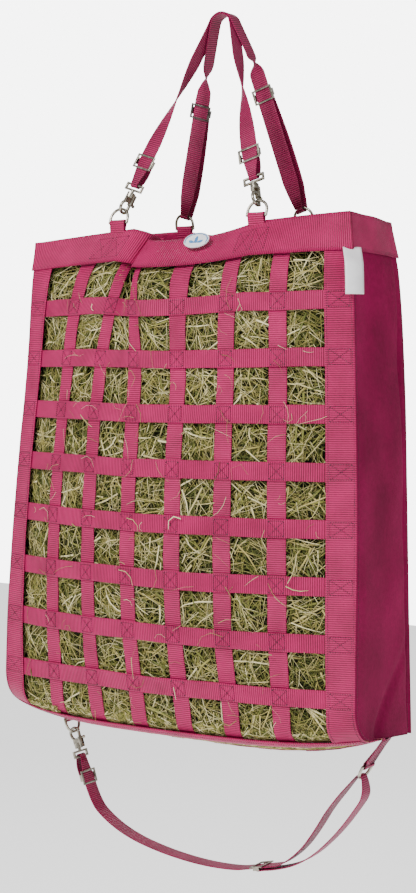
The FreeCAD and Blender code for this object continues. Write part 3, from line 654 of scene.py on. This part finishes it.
def strew(builder, face, spans, count, outs, seed, lengths=(28, 95), bulge=0.0,
          tones=(0.08, 1.0), slim=1.0, curl=0.3):
    """Stalks scattered over part of a face, at depths between two outs, the deeper ones painted darker as
    shade.
    """
    rng = random.Random(seed)
    (u0, u1), (v0, v1) = spans
    for _ in range(count):
        u, v = rng.uniform(u0, u1), rng.uniform(v0, v1)
        angle = rng.uniform(0, math.pi)
        length = rng.uniform(*lengths) * rng.uniform(0.5, 1.0)
        bend = rng.gauss(0, curl)
        depth = rng.random() ** 1.6
        out = outs[1] + (outs[0] - outs[1]) * depth
        tilt = rng.gauss(0, 1.6)
        points = []
        for k in range(4):
            s = (k / 3 - 0.5) * length
            turn = angle + bend * (k / 3 - 0.5)
            pu, pv = u + s * math.cos(turn), v + s * math.sin(turn)
            pu, pv = min(max(pu, u0 - 6), u1 + 6), min(max(pv, v0 - 6), v1 + 6)
            swell = bulge * (0.5 + 0.5 * math.cos(2 * math.pi * pu / PITCH))
            swell *= 0.5 + 0.5 * math.cos(2 * math.pi * (pv - 75.4) / PITCH)
            points.append(face.at(pu, pv, min(out + tilt * (k / 3 - 0.5) + swell, outs[1] + bulge)))
        if (points[0] - points[3]).length < 6 * MM:
            continue
        normal = on_face(face, out)(u, v)[1]
        blade = rng.random() < 0.16
        width = slim * (rng.uniform(0.8, 1.7) if blade else rng.uniform(0.24, 0.6)) * MM
        height = 0.3 * MM if blade else width * 1.3
        # Painted shade: a random tone, darker the deeper the stalk lies.
        tone = rng.uniform(*tones) * (0.2 + 0.8 * (1 - depth))
        stalk(builder, points, normal, width, height, tone)


# ------------------------------------------------------------------ strap ends and routes
def nurbs_line(points, resolution=10):
    """The points of a smooth line with these control points."""
    curve = bpy.data.curves.new("route", "CURVE")
    curve.dimensions = "3D"
    curve.resolution_u = resolution
    spline = curve.splines.new("NURBS")
    spline.points.add(len(points) - 1)
    for target, point in zip(spline.points, points):
        target.co = (*point, 1)
    spline.order_u = 3
    spline.use_endpoint_u = True
    holder = bpy.data.objects.new("route", curve)
    mesh = bpy.data.meshes.new_from_object(holder)
    line = [v.co.copy() for v in mesh.vertices]
    bpy.data.objects.remove(holder)
    bpy.data.curves.remove(curve)
    bpy.data.meshes.remove(mesh)
    return line


def lengths_along(line):
    """Distance of each point from the start of its line."""
    total, out = 0.0, [0.0]
    for a, b in zip(line, line[1:]):
        total += (b - a).length
        out.append(total)
    return out


def ribbon_stations(line, ways, grips=(None, None), wide=WEB_WIDTH, narrow=0.012, taper=0.034):
    """Stations along a line; ways are (share of the length, width direction) in order."""
    along = lengths_along(line)
    total = along[-1]
    stations = []
    for k, point in enumerate(line):
        share = along[k] / total
        before = [w for w in ways if w[0] <= share][-1]
        after = ([w for w in ways if w[0] > share] or [before])[0]
        span = after[0] - before[0]
        t = (share - before[0]) / span if span > 0 else 0.0
        way = Vector(before[1]).lerp(Vector(after[1]), t)
        ahead = (line[min(k + 1, len(line) - 1)] - line[max(k - 1, 0)]).normalized()
        way = (way - ahead * way.dot(ahead)).normalized()
        width = wide
        for grip, reach in zip(grips, (along[k], total - along[k])):
            if grip:
                width = min(width, narrow + (wide - narrow) * min(1.0, reach / taper))
        stations.append((point, way, way.cross(ahead), width, along[k]))
    return stations


def strap_piece(name, stations, body="root", material=None, thick=WEB_THICK):
    """A strap of its own along stations, riding on a body."""
    builder = Builder()
    web_strip(builder, stations, thick)
    return link(builder.mesh(name), name, material or HANGER_WEB, body)


def turn_points(centre, normal, up, turn, drop=12.0):
    """The strap's end round its bar, from its main layer to the far side."""
    points = []
    for k in range(9):
        angle = math.radians(drop + (180 - 2 * drop) * k / 8)
        points.append(centre + (normal * -math.cos(angle) - up * math.sin(angle)) * turn)
    return points

# ================================================================== the scene
make_camera()
make_stage()

# ------------------------------------------------------------------ hanging straps and the lower strap
# The straps cross over the hook; each runs from a ring or snap of one side to one of the other.
INNER_ROUTE = ((-0.0987, 0.0400, -0.2589), (-0.0574, 0.0200, -0.1270), (-0.0249, 0.0043, -0.0233),
               (-0.0182, 0.0011, -0.0020), (-0.0139, 0.0, 0.0120), (-0.0005, 0.0, 0.01835),
               (0.0132, 0.0, 0.0127), (0.0182, -0.0024, -0.0009), (0.0255, -0.0097, -0.0210),
               (0.0575, -0.0415, -0.1088), (0.0991, -0.0830, -0.2232))
OUTER_ROUTE = ((-0.0991, -0.0830, -0.2232), (-0.0584, -0.0415, -0.1085), (-0.0272, -0.0097, -0.0205),
               (-0.0202, -0.0026, -0.0009), (-0.0150, 0.0, 0.0139), (-0.0003, 0.0, 0.02045),
               (0.01455, 0.0, 0.0144), (0.0204, 0.0020, -0.0003), (0.0362, 0.0130, -0.0405),
               (0.0444, 0.0165, -0.0691), (0.0675, 0.0265, -0.1497), (0.0987, 0.0400, -0.2589))
LOWER_ROUTE = ((-0.2333, -0.036, -1.0731), (-0.2140, -0.036, -1.1360), (-0.1800, -0.036, -1.1630),
               (-0.1380, -0.036, -1.1810), (-0.0920, -0.036, -1.1910), (-0.0440, -0.036, -1.1970),
               (0.0040, -0.036, -1.1990), (0.0500, -0.036, -1.1960), (0.0680, -0.036, -1.1914),
               (0.1060, -0.036, -1.1816), (0.1240, -0.036, -1.1770),
               (0.1560, -0.036, -1.1510), (0.1810, -0.036, -1.1160), (0.2030, -0.036, -1.0790),
               (0.2415, -0.036, -1.0341))
FRONT_LEFT_WAY, FRONT_RIGHT_WAY = (-0.949, 0.105, 0.297), (-0.949, -0.105, -0.297)
BACK_LEFT_WAY, BACK_RIGHT_WAY = (-0.958, -0.05, 0.284), (-0.958, 0.05, -0.284)

inner_line = nurbs_line(INNER_ROUTE)
inner = strap_piece("strap_inner", ribbon_stations(inner_line, (
    (0, BACK_LEFT_WAY), (0.309, BACK_LEFT_WAY), (0.377, Y), (0.666, Y), (0.893, FRONT_RIGHT_WAY),
    (1, FRONT_RIGHT_WAY)), (True, True)))
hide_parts("hanging_strap_inner")

outer_line = nurbs_line(OUTER_ROUTE)
outer = strap_piece("strap_outer", ribbon_stations(outer_line, (
    (0, FRONT_LEFT_WAY), (0.106, FRONT_LEFT_WAY), (0.330, Y), (0.616, Y), (0.656, BACK_RIGHT_WAY),
    (1, BACK_RIGHT_WAY)), (True, True)))
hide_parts("hanging_strap_outer")

lower_line = nurbs_line(LOWER_ROUTE)
lower = strap_piece("strap_lower", ribbon_stations(lower_line, ((0, Y), (1, Y)), (True, True)), "lower_strap")
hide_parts("lower_strap")

# ------------------------------------------------------------------ turned back strap ends
# Each end goes round its snap eye or ring and back to the middle bar of its slide.
UPPER_ENDS = (
    ("left", "front", (-0.0991, -0.0795, -0.2245), FRONT_LEFT_WAY, (0, 0.943, -0.334), 0.0037,
     (-0.0884, -0.0720, -0.1929), (0.316, 0.322, 0.892), "keeper_slide_left"),
    ("right", "front", (0.0991, -0.0795, -0.2245), FRONT_RIGHT_WAY, (0, 0.943, -0.334), 0.0037,
     (0.0881, -0.0720, -0.1930), (-0.316, 0.322, 0.892), "keeper_slide_right"),
    ("left", "back", (-0.0987, 0.0453, -0.2579), BACK_LEFT_WAY, (0, 0.985, 0.173), 0.0063,
     (-0.0533, 0.0180, -0.1140), (0.296, -0.143, 0.944), "tri_glide_left"),
    ("right", "back", (0.0987, 0.0453, -0.2579), BACK_RIGHT_WAY, (0, 0.985, 0.173), 0.0063,
     (0.0527, 0.0201, -0.0980), (-0.273, -0.118, 0.955), "tri_glide_right"),
)


def turned_end(name, centre, way, normal, turn, slide_at, slide_up, swell, replaced, host="root"):
    """A strap's end round its bar and up behind the main layer, looped over the slide's middle bar."""
    centre, way, normal, up = Vector(centre), Vector(way), Vector(normal), Vector(slide_up)
    slide_at = Vector(slide_at)
    across = (way - up * way.dot(up)).normalized()
    behind = across.cross(up)
    behind *= 1 if behind.dot(normal) > 0 else -1
    low = turn_points(centre, normal, up, turn)
    start = low[-1]
    goal = slide_at + behind * 0.0052
    route = low + [start.lerp(goal, s) + behind * (swell * math.sin(math.pi * s))
                   for s in (0.12, 0.3, 0.5, 0.72, 0.9)]
    route += [goal, slide_at + behind * 0.0050 + up * 0.0028, slide_at + behind * 0.0030 + up * 0.0034]
    line = nurbs_line(route)
    ways = ((0, tuple(way)), (0.3, tuple(way)), (1, tuple(across)))
    piece = strap_piece(name, ribbon_stations(line, ways, (True, None), taper=0.05), host)
    piece.parent = None
    del piece["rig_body"]
    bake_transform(piece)
    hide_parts(*replaced)
    return piece


for hand, where, centre, way, normal, turn, slide_at, slide_up, slide in UPPER_ENDS:
    kind = "snap_end_loops" if where == "front" else "ring_end_layers"
    swell = {"keeper_slide_left": 0.0035, "keeper_slide_right": 0.0045,
             "tri_glide_left": 0.004, "tri_glide_right": 0.006}[slide]
    turned_end("strap_end_" + where + "_" + hand, centre, way, normal, turn,
               slide_at, slide_up, swell, [kind])

turned_end("strap_end_lower", (-0.2368, -0.036, -1.0743), Y, (-0.956, 0, -0.294), 0.0037,
           (-0.2239, -0.036, -1.1037), (0.294, 0, -0.956), 0.003, ["lower_snap_loop"],
           "lower_strap")

# The long free end comes back from the right ring to the lower tri-glide.
LOWER_BACK = ((0.2415, -0.036, -1.0341), (0.2470, -0.036, -1.0302), (0.2517, -0.036, -1.0370),
              (0.2545, -0.036, -1.0600), (0.2410, -0.036, -1.0800), (0.2220, -0.036, -1.1060),
              (0.2010, -0.036, -1.1300), (0.1760, -0.036, -1.1540), (0.1480, -0.036, -1.1725),
              (0.1160, -0.036, -1.1840), (0.0950, -0.036, -1.1885), (0.0868, -0.036, -1.1912),
              (0.0842, -0.036, -1.1895))
back_line = nurbs_line(LOWER_BACK)
lower_end = strap_piece("strap_end_lower_ring", ribbon_stations(back_line, ((0, Y), (1, Y)), (True, None)),
                        "lower_strap")
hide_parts("lower_ring_layer")

# ------------------------------------------------------------------ the net of straps
thread = Builder()
front_place, back_place = on_face(FRONT, -0.1), on_face(BACK, -0.1)


def net_straps(name, face, nodes, spans, seed, out):
    """A set of straps on one face as one piece."""
    builder = Builder()
    for k, (start, end) in enumerate(spans):
        strap_on(builder, face, start, end, 25.4, out, seed=seed + k * 1.7)
    piece = link(builder.mesh(name), name, WEB, "root")
    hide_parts(*nodes)


UNDER, OVER = -3.6, -1.2       # how far behind the face the uprights and the cross straps run
for k, row in enumerate(ROWS):
    net_straps("front_cross_%d" % (k + 1), FRONT, ["front_cross_strap_%d" % (k + 1)],
               [((-HALF + 3, row), (HALF - 3, row))], 10 + 3 * k, OVER)
for k, u in enumerate(UPRIGHTS):
    net_straps("front_upright_%d" % (k + 1), FRONT, ["front_upright_strap_%d" % (k + 1)],
               [((u, 6), (u, DEEP - 4))], 40 + 3 * k, UNDER)
net_straps("back_cross", BACK, ["back_cross_straps"],
           [((-HALF + 8, row), (HALF - 8, row)) for row in ROWS], 70, OVER)
net_straps("back_upright", BACK, ["back_upright_straps"],
           [((u, 6), (u, DEEP - 4)) for u in UPRIGHTS], 90, UNDER)
for row in ROWS:
    for u in UPRIGHTS:
        x_box(thread, front_place, u, row)
        x_box(thread, back_place, u, row)

# Borders up the four corners, and the bands round the rim and the lower edge.
bands = Builder()
for face, seed in ((FRONT, 110), (BACK, 120)):
    for hand in (-1, 1):
        u = hand * (HALF - BORDER / 2 - (4 if face is BACK else 0))
        strap_on(bands, face, (u, 4), (u, DEEP - 2), BORDER, 1.2, seed=seed + hand, slack=0.3)
        place = on_face(face, 2.0)
        for row in ROWS:
            x_box(thread, place, u, row, 14.0, 10.3)
        for edge in (-BORDER / 2 + 3, BORDER / 2 - 3):
            stitch_line(thread, place, (u + edge, 56), (u + edge, DEEP - 8), 3.6)
borders = link(bands.mesh("borders"), "borders", WEB, "root")
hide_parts("border_straps")

for face, name, node in ((FRONT, "rim_front", "top_band_front"), (BACK, "rim_back", "top_band_back")):
    band = Builder()
    slab(band, face, ((-HALF - 1, HALF + 1), (0, BAND)), (150, 12), (2.1, 3.7), 0.35)
    rim = link(band.mesh(name), name, WEB, "root")
    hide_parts(node)
    place = on_face(face, 3.85)
    for edge in (4, BAND - 4):
        stitch_line(thread, place, (-HALF + 4, edge), (HALF - 4, edge), 3.6)
band = Builder()
for face in (RIGHT, LEFT):
    slab(band, face, ((-1, SIDE + 1), (0, BAND)), (50, 12), (2.1, 3.7), 0.35)
    place = on_face(face, 3.85)
    for edge in (4, BAND - 4):
        stitch_line(thread, place, (4, edge), (SIDE - 4, edge), 3.6)
rim = link(band.mesh("rim_sides"), "rim_sides", WEB, "root")
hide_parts("top_band_sides")

band = Builder()
for face in (FRONT, BACK):
    slab(band, face, ((-HALF + 5, HALF - 5), (DEEP - 21, DEEP)), (120, 8), (0.6, 2.2), 0.2)
    stitch_line(thread, on_face(face, 2.4), (-HALF + 6, DEEP - 16), (HALF - 6, DEEP - 16), 3.6)
edge = link(band.mesh("lower_edges"), "lower_edges", WEB, "root")
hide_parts("lower_edge_straps")

band = Builder()
for k, u in enumerate(UPRIGHTS):
    strap_on(band, FLOOR, (u, 4), (u, 216), 25.4, -2.6, seed=160 + k)
for k, t in enumerate((75.0, 145.0)):
    strap_on(band, FLOOR, (-HALF + 10, t), (HALF - 10, t), 25.4, -1.2, seed=170 + k)
floor_net = link(band.mesh("floor_net"), "floor_net", WEB, "root")
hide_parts("floor_straps")
floor_place = on_face(FLOOR, -0.35)
for u in UPRIGHTS:
    for t in (75.0, 145.0):
        x_box(thread, floor_place, u, t)

# ------------------------------------------------------------------ canvas sides
def canvas_side(name, face, node):
    """A canvas side with rows of stitching near its edges."""
    builder = Builder()
    slab(builder, face, ((0, SIDE), (30, DEEP)), (60, 150), (-0.6, 0.6))
    piece = link(builder.mesh(name), name, CANVAS, "root")
    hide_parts(node)
    place = on_face(face, 0.8)
    for u in (7.0, SIDE - 7.0):
        stitch_line(thread, place, (u, 54), (u, DEEP - 6), 3.6)


canvas_side("side_left", LEFT, "side_panel_left")
canvas_side("side_right", RIGHT, "side_panel_right")

# ------------------------------------------------------------------ ring tabs
def ring_tab(builder, face, u, foot, axis, outs, legs, lean):
    """A folded webbing tab: up behind the band, round the ring's bar and down again."""
    foot, axis = Vector(foot), Vector(axis)
    stations = []
    inner_out, outer_out = outs

    def leg(v, out):
        a, b = face.at(u - 12.7, v, out), face.at(u + 12.7, v, out)
        way = (b - a).normalized()
        return (a + b) / 2, way

    for v in legs:
        stations.append(leg(v, inner_out))
    lean = Vector(lean).normalized()
    rise = axis.cross(lean).normalized()
    rise *= 1 if rise.dot(foot - stations[-1][0]) > 0 else -1
    for k in range(9):
        angle = math.radians(-15 + 210 * k / 8)
        stations.append((foot + (lean * -math.cos(angle) + rise * math.sin(angle)) * (3.35 * MM), axis))
    for v in reversed(legs):
        stations.append(leg(v, outer_out))
    full, along = [], 0.0
    for k, (point, way) in enumerate(stations):
        ahead = stations[min(k + 1, len(stations) - 1)][0] - stations[max(k - 1, 0)][0]
        way = way if way.dot(stations[0][1]) > 0 else -way
        way = (way - ahead.normalized() * way.dot(ahead.normalized())).normalized()
        if k:
            along += (point - stations[k - 1][0]).length
        full.append((point, way, way.cross(ahead).normalized(), WEB_WIDTH, along))
    web_strip(builder, full)


def flat_at(x):
    """The pattern distance at which the front rim stands at some x, outside the pleat."""
    near, far = (x / 0.83) - 50, (x / 0.83) + 50
    if x < 0:
        far = -125.0
    for _ in range(24):
        middle = (near + far) / 2
        if front_point(middle, 6).x / MM < x:
            near = middle
        else:
            far = middle
    return near


tabs = Builder()
front_band, back_band = on_face(FRONT, 3.85), on_face(BACK, 3.85)
for hand in (-1, 1):
    tab_u = flat_at(hand * 116.0)
    ring_tab(tabs, FRONT, tab_u, (hand * 0.116, -0.0984, -0.278), X, (-0.6, 1.2), (44, 34, 24, 14, 6),
             (0, -1, 0.05))
    ring_tab(tabs, BACK, hand * 130.8, (hand * 0.103, 0.0488, -0.278), X, (-0.6, 1.2), (44, 34, 24, 14, 6),
             (0, 1, 0.05))
    for u, place in ((tab_u, front_band), (hand * 130.8, back_band)):
        for shift in (-13, 13):
            x_box(thread, place, u + shift, 27, 11.5, 16)
top_tabs = link(tabs.mesh("ring_tabs"), "ring_tabs", WEB, "root")
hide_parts("ring_tabs_top")
tabs = Builder()
for hand, face in ((-1, LEFT), (1, RIGHT)):
    ring_tab(tabs, face, 97.7, (hand * 0.256, -0.036, -1.018), Y, (-2.4, -4.2), (712, 722, 731),
             (hand, 0, 0.6))
low_tabs = link(tabs.mesh("ring_tabs_low"), "ring_tabs_low", HANGER_WEB, "root")
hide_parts("ring_tabs_lower")

link(thread.mesh("stitching"), "stitching", THREAD_SEAM_SHADE, "root")

# ------------------------------------------------------------------ label and badge
def care_label():
    """A satin ribbon sewn under the band at the front right corner, standing off it and curling a little."""
    builder = Builder()
    way, off = Vector((0.62, 0.78, 0)), Vector((0.006, -0.008, 0))
    rows = []
    for k in range(25):
        v = 46 + 62 * k / 24
        free = min(1.0, k / 8)
        base = front_point(HALF, v) + off * free + Vector((0.56, -0.83, 0)) * (0.004 * math.sin(k / 24 * 3.0))
        row = []
        for j in range(9):
            across = 26 * (j / 8 - 0.5)
            cup = off * (0.35 * math.cos(math.pi * (j / 8 - 0.5)) * free)
            cloth = (v * MM * UV_SCALE, across * MM * UV_SCALE)
            row.append(builder.add(base + way * (across * MM) + cup, cloth))
        rows.append(row)
    builder.rings(rows, closed=False)
    piece = link(builder.mesh("label"), "label", SATIN, "root")
    solid = piece.modifiers.new("thickness", "SOLIDIFY")
    solid.thickness = 0.4 * MM
    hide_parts("care_label")


def badge_print():
    """A plain rim and a leaf in blue on the face of the badge."""
    faces = [p for p in NODES["badge"].data.polygons if p.normal.y < -0.5]
    total = sum(p.area for p in faces)
    normal = sum((p.normal * p.area for p in faces), Vector()).normalized()
    centre = sum((p.center * p.area for p in faces), Vector()) / total + normal * (0.3 * MM)
    right = X
    up = normal.cross(right) if normal.cross(right).z > 0 else right.cross(normal)
    builder = Builder()
    rim, inner_rim = [], []
    for k in range(64):
        angle = 2 * math.pi * k / 64
        for ring, share in ((rim, 0.93), (inner_rim, 0.85)):
            spot = right * (20 * share * math.cos(angle)) + up * (13 * share * math.sin(angle))
            ring.append(builder.add(centre + spot * MM))
    builder.rings([rim, inner_rim], caps=False)
    for turn, length in ((0.45, 12.5), (2.69, 12.5), (1.57, 13.0)):
        leaf = []
        for k in range(24):
            s = 2 * math.pi * k / 24
            along, wide = length * (0.5 - 0.5 * math.cos(s)), 2.5 * math.sin(s)
            spot = right * (along * math.cos(turn) - wide * math.sin(turn))
            spot += up * (along * math.sin(turn) + wide * math.cos(turn) - 6.0)
            leaf.append(builder.add(centre + spot * MM))
        builder.faces.append(tuple(leaf))
    link(builder.mesh("badge_print"), "badge_print", PRINT_BLUE, "root", smooth=False)


badge_print()
care_label()

# ------------------------------------------------------------------ hay
CORE_TOP, CORE_OUT, CURL_AT = 40, -15, 690


def hay_shade_core():
    """A near-black mass behind the stalks, painted shade deep in the packed hay, which rises to the faces at
    the lower edge.
    """
    builder = Builder()
    rows = []
    for k in range(40):
        v = CORE_TOP + (DEEP - 1 - CORE_TOP) * k / 39
        low = max(0.0, (v - CURL_AT) / 42)
        row = []
        for face, start, end, count, rise in ((FRONT, -280, 280, 44, 13.2), (RIGHT, 8, 207, 12, 0.0),
                                              (BACK, 280, -280, 44, 8.0), (LEFT, 207, 8, 12, 0.0)):
            for j in range(count):
                u = start + (end - start) * j / count
                rough = 3.5 * ripple(u / 9, v / 9, 21) + 2.0 * ripple(u / 30, v / 30, 24)
                deep = CORE_OUT + rise * low + rough * (1 - 0.8 * low)
                if rise:
                    place = face.at(u, v, deep)
                else:
                    place = face.at(u, v) + X * ((deep if face is RIGHT else -deep) * MM)
                # Painted shade: the core's hollows get darker tones than its bumps.
                row.append(builder.add(place, tone=0.3 + 0.3 * rough / 6))
        rows.append(row)
    builder.rings(rows)
    slab(builder, FLOOR, ((-258, 258), (2, 218)), (90, 30), (-40, -3.2))
    piece = link(builder.mesh("hay_shade_core"), "hay_shade_core", CORE_SHADE, "root")
    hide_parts("hay_fill")


hay_shade_core()
QUICK = 1.0


def hay_piece(name, face, spans, count, outs, seed, **more):
    """One piece of strewn stalks."""
    builder = Builder()
    strew(builder, face, spans, int(count * QUICK), outs, seed, **more)
    link(builder.mesh(name), name, STALK, "root")


hay_piece("hay_front", FRONT, ((-263, 263), (44, 730)), 13400, (-14.5, -5.6), 1, bulge=2.6)
hay_piece("hay_back", BACK, ((-260, 260), (44, 726)), 9700, (-14.5, -5.6), 2, bulge=2.6)
hay_piece("hay_top", TOP, ((-258, 258), (16, 134)), 2600, (-6, 3), 3, lengths=(40, 140))
hay_piece("hay_floor", FLOOR, ((-272, 272), (4, 216)), 3800, (-4.2, -1.7), 4)
hay_piece("hay_lip", FRONT, ((-268, 268), (700, 727)), 1500, (-5.6, -3.9), 7, lengths=(12, 46))
hay_piece("hay_corner", FRONT, ((-266, -196), (706, 728)), 520, (-3.4, -0.3), 8, lengths=(12, 40))
hay_piece("hay_strays", FRONT, ((-250, 250), (60, 722)), 210, (0.3, 3.6), 5, lengths=(14, 58),
          tones=(0.6, 1.0), slim=0.62, curl=0.8)
hay_piece("hay_strays_back", BACK, ((-250, 250), (60, 722)), 90, (0.3, 3.0), 6, lengths=(14, 50),
          tones=(0.6, 1.0), slim=0.62, curl=0.8)

# ------------------------------------------------------------------ finish of the metal pieces
# The left tri-glide gets the darker nickel copy as painted shade.
PREFIXES = (("snap_spring", SPRING_STEEL), ("snap_", NICKEL), ("d_ring", NICKEL), ("keeper_slide", NICKEL),
            ("tri_glide_left", SHADED_NICKEL), ("tri_glide", NICKEL), ("lower_keeper", NICKEL),
            ("lower_tri", NICKEL), ("badge", BADGE_WHITE))
for name, piece in NODES.items():
    if not piece.hide_render:
        finish = next(material for prefix, material in PREFIXES if name.startswith(prefix))
        if piece.material_slots:
            piece.material_slots[0].material = finish
        else:
            piece.data.materials.append(finish)
